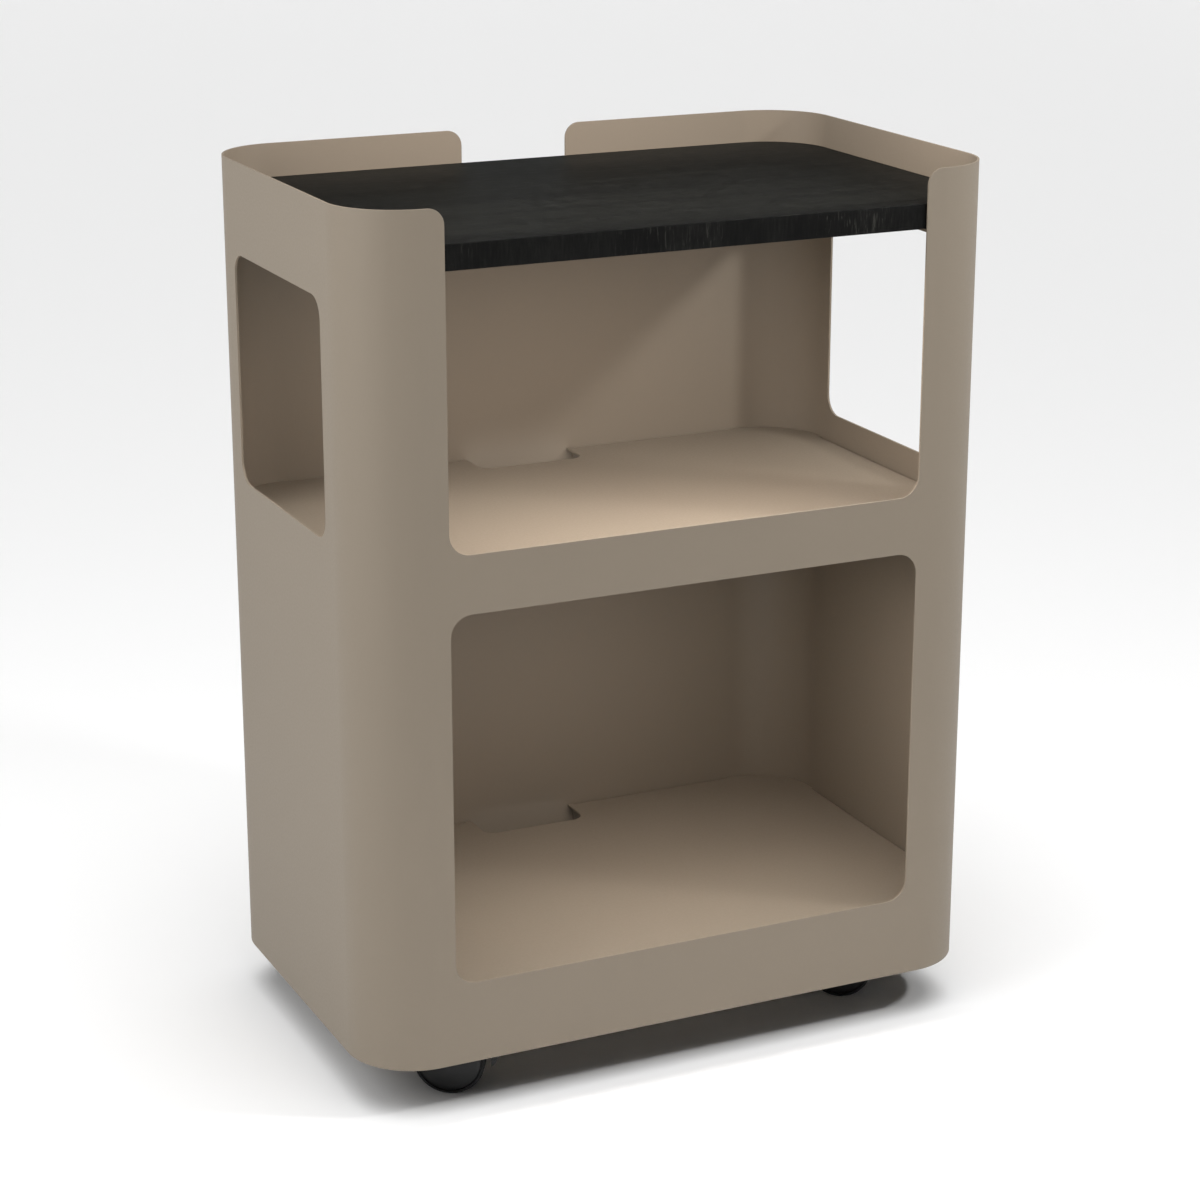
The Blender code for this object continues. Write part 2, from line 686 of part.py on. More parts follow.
def make_caster(corner, side, end, yaw, braked, collection, cutters, materials, wheel_meshes):
    """One caster: the stem and its nut stand still, and the rest turns with the swivel's empty."""
    name = f"caster_{corner}"
    swivel = bpy.data.objects.new(f"{name}_swivel_axis", None)
    collection.objects.link(swivel)
    place = bpy.data.objects.new(f"{name}_place", None)
    collection.objects.link(place)
    for centre in (swivel, place):
        centre.location = (side * CASTER_X, end * CASTER_Y, 0)
    swivel.rotation_euler.z = yaw
    make_stem(name, place, collection, materials["zinc"])
    make_weld_nut(name, place, collection, cutters, materials["zinc"])
    make_hood(name, swivel, braked, collection, cutters, materials["hub"])
    make_axle(name, swivel, collection, materials["zinc"])
    for side_name, across in (("outer", -1), ("inner", 1)):
        make_wheel(name, side_name, across, swivel, wheel_meshes, collection, materials)
    if braked:
        make_pedal(name, swivel, collection, cutters, materials)


def build():
    clear_scene()
    trolley = new_collection("rolling_storage_trolley")
    cutters = new_collection("cutters")
    coat = new_material("taupe_powder_coat", (0.30, 0.265, 0.21), 0.55)
    materials = {
        "coat": coat,
        "board": new_material("black_stained_oak", (0.016, 0.015, 0.014), 0.5),
        "zinc": new_material("zinc_plated_steel", (0.62, 0.62, 0.60), 0.35, 1.0),
        "hub": new_material("black_nylon", (0.012, 0.012, 0.013), 0.45),
        "tread": new_material("black_tread_rubber", (0.016, 0.016, 0.016), 0.7),
    }
    make_body_shell(trolley, cutters, coat)
    make_shelf("middle_shelf", MIDDLE_SHELF_TOP, trolley, coat)
    make_shelf("bottom_shelf", BOTTOM_SHELF_TOP, trolley, coat)
    make_top_board(trolley, cutters, materials["board"])
    for side_name, side in (("left", -1), ("right", 1)):
        make_board_rail(side_name, side, trolley, cutters, coat)
        make_rail_screws(side_name, side, trolley, materials["zinc"])
        make_caster_channel(side_name, side, trolley, cutters, coat)
    wheel_meshes = {"hub": turned_mesh(hub_profile(), 20), "tread": turned_mesh(tread_profile(), 28)}
    for corner, (side, end, yaw, braked) in CASTERS.items():
        make_caster(corner, side, end, yaw, braked, trolley, cutters, materials, wheel_meshes)


build()
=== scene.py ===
"""Looks of the rolling storage trolley: steel shell, folded shelves, oak top and casters in a pale studio.

Units are metres, +Z is up and the open front faces -Y. Every new piece is a surface worked out in numpy:
a flat pattern bent round the plan, a profile carried along a path, or a profile turned about an axis.
"""

import json
from math import pi, radians

import bmesh
import bpy
import numpy as np
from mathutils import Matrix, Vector
from mathutils.geometry import delaunay_2d_cdt


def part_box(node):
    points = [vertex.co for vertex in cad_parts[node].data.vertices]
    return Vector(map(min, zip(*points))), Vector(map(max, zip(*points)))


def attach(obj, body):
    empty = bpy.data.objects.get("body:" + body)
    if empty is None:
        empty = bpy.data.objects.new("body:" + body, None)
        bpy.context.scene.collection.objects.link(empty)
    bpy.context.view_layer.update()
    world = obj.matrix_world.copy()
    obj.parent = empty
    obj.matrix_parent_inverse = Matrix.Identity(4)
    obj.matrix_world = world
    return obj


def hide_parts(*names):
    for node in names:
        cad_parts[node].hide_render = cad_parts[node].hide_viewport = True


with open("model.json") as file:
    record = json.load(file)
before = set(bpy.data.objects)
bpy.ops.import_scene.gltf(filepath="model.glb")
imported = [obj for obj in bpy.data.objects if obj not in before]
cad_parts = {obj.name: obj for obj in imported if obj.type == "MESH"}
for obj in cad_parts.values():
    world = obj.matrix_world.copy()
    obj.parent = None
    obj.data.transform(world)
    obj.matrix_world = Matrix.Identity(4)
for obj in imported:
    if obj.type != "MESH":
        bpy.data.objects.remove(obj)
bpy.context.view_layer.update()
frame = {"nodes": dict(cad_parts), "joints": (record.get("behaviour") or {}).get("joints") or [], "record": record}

# Sheet metal
SHEET = 0.002
CORNER_RADIUS = 0.062
CORNER_STEPS = 32
SUPPORT = 0.0004
COAT_EDGE = 0.00065

# Openings, with heights above the shell's lower edge
OPENING_HALF_WIDTH = 0.2225
OPENING_RADIUS = 0.019
RIM_RADIUS = 0.014
LOWER_OPENING = (0.0745, 0.406)
UPPER_OPENING_BOTTOM = 0.4575
WINDOW_Y = (-0.1065, 0.1105)
WINDOW_Z = (0.459, 0.665)
REAR_NOTCH_HALF_WIDTH = 0.0525
REAR_NOTCH_BOTTOM = 0.698

# Shelves
SHELF_BEND = 0.004
FLANGE_RELIEF = 0.006
CABLE_NOTCH_DEPTH = 0.040
CABLE_NOTCH_RADIUS = 0.012

# Top board
BOARD_EDGE = 0.0010

# Wheels, with distances along the axle measured from the middle of the wheel
WHEEL_HALF_WIDTH = 0.008
TREAD_THICKNESS = 0.0035
TREAD_FIT = 0.0003
TREAD_HALF_WIDTH = 0.0078
TREAD_SHOULDER = 0.0012
AXLE_BORE = 0.0033
BOSS_RADIUS = 0.0075
DISC_BACK = 0.0010
DISC_HOLLOW = 0.0040
HUB_ROUNDING = 0.0005
TREAD_ROUNDING = 0.0007

# Edges of the finer copies of CAD pieces
MOULDED_EDGE = 0.0004
TURNED_EDGE = 0.0002

# Camera
CAMERA_PLACE = (-1.0950, -2.3405, 1.1978)
CAMERA_YAW = radians(25.10)
CAMERA_PITCH = radians(17.48)
CAMERA_LENS = 88.76

# Studio
WORLD_STRENGTH = 0.02
CEILING_STRENGTH = 2.75
CEILING_SPREAD = radians(60)
LEFT_POWER = 12.5
RIGHT_POWER = 9.0
FRONT_POWER = 1.5
UPPER_FILL_POWER = 1.5
LOWER_FILL_POWER = 0.82
RIM_FILL_POWER = 1.45
FILL_DEPTH = 0.06
FLOOR_REACH = 14.0
SWEEP_RADIUS = 3.0
WALL_HEIGHT = 4.6
FLOOR_STEPS = 96
WHITE = (1.0, 1.0, 1.0)
WARM = (1.0, 0.93, 0.90)

shell_low, shell_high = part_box("body_shell")
WIDTH = shell_high.x - shell_low.x
DEPTH = shell_high.y - shell_low.y
BASE = shell_low.z
SHELL_HEIGHT = shell_high.z - shell_low.z


# ---------------------------------------------------------------- meshes


def add_piece(name, points, faces, material, body, nodes=()):
    """Puts arrays of points and faces into a mesh, welds its seams and makes it a piece of the trolley."""
    mesh = bpy.data.meshes.new(name)
    mesh.from_pydata(np.asarray(points).tolist(), [], [list(face) for face in faces])
    weld(mesh)
    piece = bpy.data.objects.new(name, mesh)
    bpy.context.scene.collection.objects.link(piece)
    mesh.shade_smooth()
    mesh.materials.append(material)
    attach(piece, body)
    if nodes:
        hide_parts(*nodes)
    return piece


def weld(mesh, distance=0.000002):
    shape = bmesh.new()
    shape.from_mesh(mesh)
    bmesh.ops.remove_doubles(shape, verts=shape.verts, dist=distance)
    bmesh.ops.recalc_face_normals(shape, faces=shape.faces)
    shape.to_mesh(mesh)
    shape.free()


def round_edges(piece, width, segments=2, angle=40):
    bevel = piece.modifiers.new("Edges", "BEVEL")
    bevel.width = width
    bevel.segments = segments
    bevel.limit_method = "ANGLE"
    bevel.angle_limit = radians(angle)
    bevel.harden_normals = True
    bevel.use_clamp_overlap = True
    return piece


def grid_faces(rows, columns, wrap_rows=False, wrap_columns=False):
    """Quads of a grid whose point (row, column) has index row * columns + column."""
    row = np.arange(rows if wrap_rows else rows - 1)
    column = np.arange(columns if wrap_columns else columns - 1)
    row, column = [part.ravel() for part in np.meshgrid(row, column, indexing="ij")]
    next_row = (row + 1) % rows
    next_column = (column + 1) % columns
    corners = ((row, column), (row, next_column), (next_row, next_column), (next_row, column))
    return np.stack([r * columns + c for r, c in corners], axis=1)


def rounded_outline(corners, steps=8):
    """Points of an outline whose corners (u, v, radius) are rounded by arcs tangent to both sides.

    The arc's centre lies on the bisector, radius / sin(half angle) from the corner, and the points turn
    about it from one tangent point to the other.
    """
    corners = np.array(corners, float)
    place, radius = corners[:, :2], corners[:, 2]
    points = []
    for index in range(len(place)):
        if radius[index] == 0:
            points.append(place[index : index + 1])
            continue
        before = place[index - 1] - place[index]
        after = place[(index + 1) % len(place)] - place[index]
        before, after = before / np.linalg.norm(before), after / np.linalg.norm(after)
        half = np.arccos(np.clip(before @ after, -1, 1)) / 2
        bisector = (before + after) / np.linalg.norm(before + after)
        centre = place[index] + bisector * radius[index] / np.sin(half)
        start = place[index] + before * radius[index] / np.tan(half) - centre
        end = place[index] + after * radius[index] / np.tan(half) - centre
        turn = np.arctan2(start[0] * end[1] - start[1] * end[0], start @ end)
        angle = np.linspace(0, turn, steps + 1)[:, None]
        side = np.array([-start[1], start[0]])
        points.append(centre + np.cos(angle) * start + np.sin(angle) * side)
    return np.concatenate(points)


def plan_path(along, width, depth, radius):
    """Point and outward direction at a distance along a rounded rectangle.

    The path starts on the right side where its straight part begins, and runs round by the back, the left
    side and the front. Each quarter is a straight run followed by an arc of a quarter turn.
    """
    runs = np.array([depth, width, depth, width]) - 2 * radius
    quarter = radius * pi / 2
    starts = np.concatenate([[0], np.cumsum(runs + quarter)])
    along = np.asarray(along) % starts[-1]
    side = np.clip(np.searchsorted(starts, along, side="right") - 1, 0, 3)
    done = along - starts[side]
    turn = side * pi / 2 + np.clip(done - runs[side], 0, None) / radius
    outward = np.stack([np.cos(turn), np.sin(turn)], axis=-1)
    centre_x = np.array([1, -1, -1, 1])[side] * (width / 2 - radius)
    centre_y = np.array([1, 1, -1, -1])[side] * (depth / 2 - radius)
    heading = np.stack([-np.sin(side * pi / 2), np.cos(side * pi / 2)], axis=-1)
    before_arc = np.clip(runs[side] - done, 0, None)[..., None]
    place = np.stack([centre_x, centre_y], axis=-1) + radius * outward - heading * before_arc
    return place, outward


def plan_stations(width, depth, radius, steps=CORNER_STEPS):
    """Distances along the plan path that bound its straight runs and divide its arcs, and its length.

    A support station stands just outside both ends of each arc, so that the flat runs shade flat.
    """
    runs = np.array([depth, width, depth, width]) - 2 * radius
    quarter = radius * pi / 2
    arc_starts = np.cumsum(runs) + np.arange(4) * quarter
    inside = np.linspace(0, quarter, steps + 1)
    supports = np.array([-SUPPORT, quarter + SUPPORT])
    stations = (arc_starts[:, None] + np.concatenate([inside, supports])).ravel()
    length = runs.sum() + 4 * quarter
    return np.unique(np.round(stations[stations < length - SUPPORT / 2], 9)), length


# ---------------------------------------------------------------- shell


def side_middles():
    """Distances along the shell's plan of the middles of its right side, back, left side and front."""
    runs = np.array([DEPTH, WIDTH, DEPTH, WIDTH]) - 2 * CORNER_RADIUS
    quarter = CORNER_RADIUS * pi / 2
    return np.concatenate([[0], np.cumsum(runs[:3] + quarter)]) + runs / 2


def dip(middle, half_width, bottom, radius):
    """The corners of an opening that runs out through the rim, in order of distance along the plan."""
    top = SHELL_HEIGHT
    return [
        (middle - half_width - RIM_RADIUS, top, 0),
        (middle - half_width, top, RIM_RADIUS),
        (middle - half_width, bottom, radius),
        (middle + half_width, bottom, radius),
        (middle + half_width, top, RIM_RADIUS),
        (middle + half_width + RIM_RADIUS, top, 0),
    ]


def hole(low, high, bottom, top):
    """A closed opening: a rectangle whose four corners are arcs of one radius."""
    corners = ((low, bottom), (high, bottom), (high, top), (low, top))
    return rounded_outline([(u, v, OPENING_RADIUS) for u, v in corners])


def shell_pattern():
    """The flat pattern of the shell: its outside loop and its three closed holes."""
    right, back, left, front = side_middles()
    stations, length = plan_stations(WIDTH, DEPTH, CORNER_RADIUS)
    stations = stations[stations > 1e-6]
    rim = np.concatenate(
        [
            rounded_outline(dip(back, REAR_NOTCH_HALF_WIDTH, REAR_NOTCH_BOTTOM, RIM_RADIUS)),
            rounded_outline(dip(front, OPENING_HALF_WIDTH, UPPER_OPENING_BOTTOM, OPENING_RADIUS)),
        ]
    )
    plain = np.stack([stations, np.full(len(stations), SHELL_HEIGHT)], axis=1)
    ends = np.array([[0, SHELL_HEIGHT], [length, SHELL_HEIGHT]])
    before_back = plain[stations < back]
    between = plain[(stations > back) & (stations < front)]
    after_front = plain[stations > front]
    half = len(rim) // 2
    top = np.concatenate([ends[:1], before_back, rim[:half], between, rim[half:], after_front, ends[1:]])
    bottom = np.stack([np.concatenate([[0], stations, [length]]), np.zeros(len(stations) + 2)], axis=1)
    holes = [
        hole(front - OPENING_HALF_WIDTH, front + OPENING_HALF_WIDTH, *LOWER_OPENING),
        hole(right + WINDOW_Y[0], right + WINDOW_Y[1], *WINDOW_Z),
        hole(left - WINDOW_Y[1], left - WINDOW_Y[0], *WINDOW_Z),
    ]
    return np.concatenate([bottom, top[::-1]]), holes, stations, length


def filled(loops, lines=()):
    """Points and triangles that fill the loops. A loop inside another is a hole, and lines stay edges."""
    points = np.concatenate(list(loops) + [np.reshape(line, (2, 2)) for line in lines])
    edges = []
    first = 0
    for loop in loops:
        ring = np.arange(first, first + len(loop))
        edges += np.stack([ring, np.roll(ring, -1)], axis=1).tolist()
        first += len(loop)
    edges += [[first + 2 * index, first + 2 * index + 1] for index in range(len(lines))]
    found = delaunay_2d_cdt([Vector(point) for point in points], edges, [], 0, 1e-7)
    flat = np.array([tuple(point) for point in found[0]])
    triangles = np.array(found[2])
    a, b, c = (flat[triangles[:, index]] for index in range(3))
    area = (b[:, 0] - a[:, 0]) * (c[:, 1] - a[:, 1]) - (b[:, 1] - a[:, 1]) * (c[:, 0] - a[:, 0])
    triangles[area < 0] = triangles[area < 0][:, ::-1]
    return flat, triangles[inside(loops, (a + b + c) / 3) & (np.abs(area) > 1e-12)]


def inside(loops, points):
    """True for each point from which a line drawn towards +u crosses the loops an odd number of times."""
    start = np.concatenate(list(loops))
    end = np.concatenate([np.roll(loop, -1, axis=0) for loop in loops])
    u, v = points[:, :1], points[:, 1:]
    spans = (start[:, 1] > v) != (end[:, 1] > v)
    rise = np.where(end[:, 1] == start[:, 1], 1, end[:, 1] - start[:, 1])
    crossing = start[:, 0] + (v - start[:, 1]) / rise * (end[:, 0] - start[:, 0])
    return (spans & (u < crossing)).sum(axis=1) % 2 == 1


def outline_edges(triangles):
    """The edges that only one triangle uses, each in that triangle's direction."""
    edges = np.concatenate([triangles[:, [0, 1]], triangles[:, [1, 2]], triangles[:, [2, 0]]])
    _, index, count = np.unique(np.sort(edges, axis=1), axis=0, return_inverse=True, return_counts=True)
    return edges[count[index.ravel()] == 1]


def make_body_shell(material):
    """The wrapped sheet: the flat pattern (distance along the plan, height) bent round the plan twice.

    The outer skin lies on the plan path and the inner skin one sheet thickness inside it, and a strip
    across the thickness joins them along every edge of the pattern.
    """
    outside, holes, stations, length = shell_pattern()
    lines = [((station, 0), (station, SHELL_HEIGHT)) for station in stations]
    flat, triangles = filled([outside] + holes, lines)
    place, outward = plan_path(flat[:, 0] % length, WIDTH, DEPTH, CORNER_RADIUS)
    height = BASE + flat[:, 1]
    outer = np.column_stack([place, height])
    inner = np.column_stack([place - SHEET * outward, height])
    count = len(flat)
    rim = outline_edges(triangles)
    on_seam = (np.abs(flat[rim][:, :, 0] % length) < 1e-6).all(axis=1)
    start, end = rim[~on_seam].T
    strip = np.stack([end, start, start + count, end + count], axis=1)
    faces = triangles.tolist() + (triangles[:, ::-1] + count).tolist() + strip.tolist()
    shell = add_piece(
        "steel_shell", np.concatenate([outer, inner]), faces, material, "frame", ["body_shell"]
    )
    return round_edges(shell, COAT_EDGE)


# ---------------------------------------------------------------- shelves


def shelf_folds(reach_x, reach_y, end_x, end_y):
    """The straight folds of a shelf as (start, end, outward direction), running round counterclockwise."""
    fold_x, fold_y = reach_x - SHELF_BEND, reach_y - SHELF_BEND
    beside_notch = REAR_NOTCH_HALF_WIDTH + FLANGE_RELIEF
    return [
        ((-end_x, -fold_y), (end_x, -fold_y), (0, -1)),
        ((fold_x, -end_y), (fold_x, end_y), (1, 0)),
        ((end_x, fold_y), (beside_notch, fold_y), (0, 1)),
        ((-beside_notch, fold_y), (-end_x, fold_y), (0, 1)),
        ((-fold_x, end_y), (-fold_x, -end_y), (-1, 0)),
    ]


def shelf_outline(reach_x, reach_y, radius, end_x, end_y):
    """The flat part: out to the wall at the corners and beside the cable notch, set back along each fold."""
    fold_x, fold_y = reach_x - SHELF_BEND, reach_y - SHELF_BEND
    notch = REAR_NOTCH_HALF_WIDTH
    right = [
        (end_x, -fold_y, 0),
        (end_x, -reach_y, 0),
        (reach_x, -reach_y, radius),
        (reach_x, -end_y, 0),
        (fold_x, -end_y, 0),
        (fold_x, end_y, 0),
        (reach_x, end_y, 0),
        (reach_x, reach_y, radius),
        (end_x, reach_y, 0),
        (end_x, fold_y, 0),
        (notch + FLANGE_RELIEF, fold_y, 0),
        (notch + FLANGE_RELIEF, reach_y, 0),
        (notch, reach_y, 0),
        (notch, reach_y - CABLE_NOTCH_DEPTH, CABLE_NOTCH_RADIUS),
    ]
    left = [(-x, y, corner) for x, y, corner in reversed(right)]
    return rounded_outline(right + left, steps=20)


def fold_profile(flange):
    """Section of a fold as (outwards, down): outer bend, flange, lower edge, and back up by the inner bend."""
    turn = np.linspace(0, pi / 2, 9)
    inner = SHELF_BEND - SHEET
    outer_bend = np.stack([SHELF_BEND * np.sin(turn), SHELF_BEND * (1 - np.cos(turn))], axis=1)
    inner_bend = np.stack([inner * np.sin(turn), SHELF_BEND - inner * np.cos(turn)], axis=1)[::-1]
    return np.concatenate([outer_bend, [[SHELF_BEND, flange], [inner, flange]], inner_bend])


def make_shelf(name, node, material):
    """A folded tray: a flat sheet, with a section carried along each straight edge to make its flange."""
    low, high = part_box(node)
    top, flange = high.z, high.z - low.z
    reach_x, reach_y = high.x, high.y
    radius = CORNER_RADIUS - (WIDTH / 2 - reach_x)
    end_x = reach_x - radius - FLANGE_RELIEF
    end_y = reach_y - radius - FLANGE_RELIEF
    flat, triangles = filled([shelf_outline(reach_x, reach_y, radius, end_x, end_y)])
    count = len(flat)
    points = [np.column_stack([flat, np.full(count, z)]) for z in (top, top - SHEET)]
    rim = outline_edges(triangles)
    middle = np.abs(flat[rim].mean(axis=1))
    span = np.abs(flat[rim][:, 0] - flat[rim][:, 1])
    folded = (np.abs(middle[:, 0] - (reach_x - SHELF_BEND)) < 1e-6) & (span[:, 0] < 1e-6)
    folded |= (np.abs(middle[:, 1] - (reach_y - SHELF_BEND)) < 1e-6) & (span[:, 1] < 1e-6)
    start, end = rim[~folded].T
    strip = np.stack([end, start, start + count, end + count], axis=1)
    faces = triangles.tolist() + (triangles[:, ::-1] + count).tolist() + strip.tolist()
    section = fold_profile(flange)
    rows = len(section)
    used = 2 * count
    for ends in shelf_folds(reach_x, reach_y, end_x, end_y):
        first, last, outward = (np.array(part, float) for part in ends)
        line = np.stack([first, last])[None] + section[:, None, :1] * outward
        depth = np.repeat(top - section[:, 1:], 2, axis=1)[..., None]
        points.append(np.concatenate([line, depth], axis=2).reshape(-1, 3))
        faces += (grid_faces(rows, 2) + used).tolist()
        faces += [(np.arange(rows) * 2 + used).tolist(), (np.arange(rows)[::-1] * 2 + 1 + used).tolist()]
        used += 2 * rows
    shelf = add_piece(name, np.concatenate(points), faces, material, "frame", [node])
    return round_edges(shelf, COAT_EDGE)


# ---------------------------------------------------------------- top board


def make_top_board(material):
    """The board: a section with rounded arrises carried round the plan, closed by a flat top and bottom."""
    low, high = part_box("top_board")
    width, depth = high.x - low.x, high.y - low.y
    radius = CORNER_RADIUS - (WIDTH - width) / 2
    stations, _ = plan_stations(width, depth, radius)
    place, outward = plan_path(stations, width, depth, radius)
    turn = np.linspace(0, pi / 2, 6)
    inset = BOARD_EDGE * (1 - np.sin(turn))
    drop = BOARD_EDGE * (1 - np.cos(turn))
    inset = np.concatenate([[2.5 * BOARD_EDGE], inset, inset[::-1], [2.5 * BOARD_EDGE]])
    height = np.concatenate([[high.z], high.z - drop, low.z + drop[::-1], [low.z]])
    ring = place[None] - inset[:, None, None] * outward[None]
    levels = np.repeat(height[:, None, None], len(stations), axis=1)
    points = np.concatenate([ring, levels], axis=2).reshape(-1, 3)
    columns = len(stations)
    faces = grid_faces(len(inset), columns, wrap_columns=True)[:, ::-1].tolist()
    faces.append(np.arange(columns).tolist())
    faces.append((np.arange(columns)[::-1] + (len(inset) - 1) * columns).tolist())
    return add_piece("oak_top", points, faces, material, "frame", ["top_board"])


# ---------------------------------------------------------------- casters


def joint_named(name):
    return next(joint for joint in frame["joints"] if joint["name"] == name)


def turned(profile, centre, axis, steps=72):
    """A closed section (radius, distance along the axis) turned about the axis through the centre."""
    profile = np.array(profile)
    axis = np.array(axis, float) / np.linalg.norm(axis)
    across = np.cross(axis, (0, 0, 1))
    upward = np.cross(across, axis)
    angle = np.linspace(0, 2 * pi, steps, endpoint=False)[:, None, None]
    spoke = np.cos(angle) * across + np.sin(angle) * upward
    points = np.array(centre) + profile[None, :, :1] * spoke + profile[None, :, 1:] * axis
    return points.reshape(-1, 3), grid_faces(steps, len(profile), wrap_rows=True, wrap_columns=True)


def smooth_section(corners, radius, steps=5):
    """A closed section whose corners are all rounded by one radius."""
    return rounded_outline([(r, along, radius) for r, along in corners], steps)


def make_wheel(caster, side, materials):
    """One wheel: a closed nylon disc, slightly domed and hollow behind, in a soft tread with full shoulders."""
    joint = joint_named(f"{caster}_{side}_wheel_roll")
    centre = Vector(joint["pos_m"])
    swivel = Vector(joint_named(f"{caster}_swivel")["pos_m"])
    axis = Vector(joint["axis"]).normalized()
    if (centre - swivel).dot(axis) < 0:
        axis.negate()
    radius = centre.z
    half, rim = WHEEL_HALF_WIDTH, radius - TREAD_THICKNESS
    hub = [
        (AXLE_BORE, -half),
        (BOSS_RADIUS, -half),
        (BOSS_RADIUS + DISC_BACK, -DISC_HOLLOW),
        (rim - 0.0030, DISC_BACK - half),
        (rim, DISC_BACK - half),
        (rim, half - 0.0010),
        (rim * 0.9, half - 0.0006),
        (rim / 2, half - 0.0002),
        (AXLE_BORE, half),
    ]
    seat, shoulder = rim + TREAD_FIT, radius - TREAD_SHOULDER
    tread = [
        (seat, -TREAD_HALF_WIDTH),
        (shoulder, -TREAD_HALF_WIDTH),
        (radius, -0.0060),
        (radius, 0.0060),
        (shoulder, TREAD_HALF_WIDTH),
        (seat, TREAD_HALF_WIDTH),
    ]
    body = f"{caster}_{side}_wheel"
    rows = (
        ("hub", "hub", hub, HUB_ROUNDING, "black_nylon"),
        ("tread", "tyre", tread, TREAD_ROUNDING, "tread_rubber"),
    )
    for part, word, corners, rounding, slot in rows:
        points, faces = turned(smooth_section(corners, rounding), centre, axis)
        name = f"{caster}_{side}_{word}_fine"
        piece = add_piece(name, points, faces, materials[slot], body, [f"{caster}_{side}_{part}"])
        piece.data.set_sharp_from_angle(angle=radians(50))


def refined(node, body, material, edge, angle=30):
    """A finer copy of a CAD node: its triangles welded, flat ones joined, and its edges rounded."""
    mesh = frame["nodes"][node].data.copy()
    mesh.materials.clear()
    shape = bmesh.new()
    shape.from_mesh(mesh)
    bmesh.ops.remove_doubles(shape, verts=shape.verts, dist=0.00001)
    bmesh.ops.dissolve_limit(
        shape, angle_limit=radians(1), verts=shape.verts, edges=shape.edges, use_dissolve_boundaries=False
    )
    shape.to_mesh(mesh)
    shape.free()
    mesh.materials.append(material)
    piece = bpy.data.objects.new(f"{node}_fine", mesh)
    bpy.context.scene.collection.objects.link(piece)
    mesh.shade_smooth()
    mesh.set_sharp_from_angle(angle=radians(angle))
    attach(piece, body)
    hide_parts(node)
    return round_edges(piece, edge, angle=angle)


# ---------------------------------------------------------------- materials


class Nodes:
    """A material's node tree, with short calls that add a node and link its inputs."""

    def __init__(self, name):
        self.material = bpy.data.materials.new(name)
        self.material.use_nodes = True
        self.tree = self.material.node_tree
        self.shader = self.tree.nodes["Principled BSDF"]

    def add(self, kind, settings=(), **inputs):
        node = self.tree.nodes.new(kind)
        for key, value in dict(settings).items():
            setattr(node, key, value)
        for key, value in inputs.items():
            self.feed(node, key.replace("_", " "), value)
        return node

    def feed(self, node, key, value):
        socket = node.inputs[int(key[1:])] if key[0] == "i" and key[1:].isdigit() else node.inputs[key]
        if isinstance(value, bpy.types.NodeSocket):
            self.tree.links.new(value, socket)
        else:
            socket.default_value = value

    def place(self, scale=(1, 1, 1)):
        source = self.add("ShaderNodeTexCoord").outputs["Object"]
        return self.add("ShaderNodeMapping", Vector=source, Scale=scale).outputs["Vector"]

    def noise(self, vector, scale, detail=3.0, roughness=0.5, distortion=0.0):
        node = self.add(
            "ShaderNodeTexNoise", Vector=vector, Scale=scale, Detail=detail, Roughness=roughness
        )
        node.inputs["Distortion"].default_value = distortion
        return node.outputs["Fac"]

    def span(self, value, low, high, to_low, to_high):
        node = self.add("ShaderNodeMapRange", Value=value)
        for key, number in zip(("From Min", "From Max", "To Min", "To Max"), (low, high, to_low, to_high)):
            node.inputs[key].default_value = number
        return node.outputs["Result"]

    def mix(self, factor, first, second, mode="MIX"):
        node = self.add("ShaderNodeMix", {"data_type": "RGBA", "blend_type": mode})
        for socket, value in zip((node.inputs[0], node.inputs[6], node.inputs[7]), (factor, first, second)):
            if isinstance(value, bpy.types.NodeSocket):
                self.tree.links.new(value, socket)
            else:
                socket.default_value = value
        return node.outputs[2]

    def bump(self, height, strength, distance, under=None):
        node = self.add("ShaderNodeBump", Height=height, Strength=strength, Distance=distance)
        if under is not None:
            self.tree.links.new(under, node.inputs["Normal"])
        return node.outputs["Normal"]


def shade(colour, factor):
    return tuple(channel * factor for channel in colour) + (1.0,)


def powder_coat():
    """Fine matt powder coat: a faint orange peel that also varies the gloss, a very fine grain, and slow drifts of
    tone.
    """
    nodes = Nodes("taupe_powder_coat")
    vector = nodes.place()
    base = (0.230, 0.191, 0.145)
    drift = nodes.noise(vector, 4.0, 2.0)
    grain = nodes.noise(vector, 2600.0, 2.0)
    peel = nodes.noise(vector, 420.0, 2.0)
    colour = nodes.mix(nodes.span(drift, 0.3, 0.7, 0, 1), shade(base, 0.985), shade(base, 1.015))
    colour = nodes.mix(nodes.span(grain, 0.3, 0.7, 0, 1), colour, shade(base, 1.04))
    nodes.feed(nodes.shader, "Base Color", colour)
    nodes.feed(nodes.shader, "Roughness", nodes.span(peel, 0.3, 0.7, 0.50, 0.58))
    fine = nodes.bump(grain, 0.10, 0.00006)
    nodes.feed(nodes.shader, "Normal", nodes.bump(peel, 0.10, 0.00015, fine))
    nodes.shader.inputs["Specular IOR Level"].default_value = 0.35
    return nodes.material


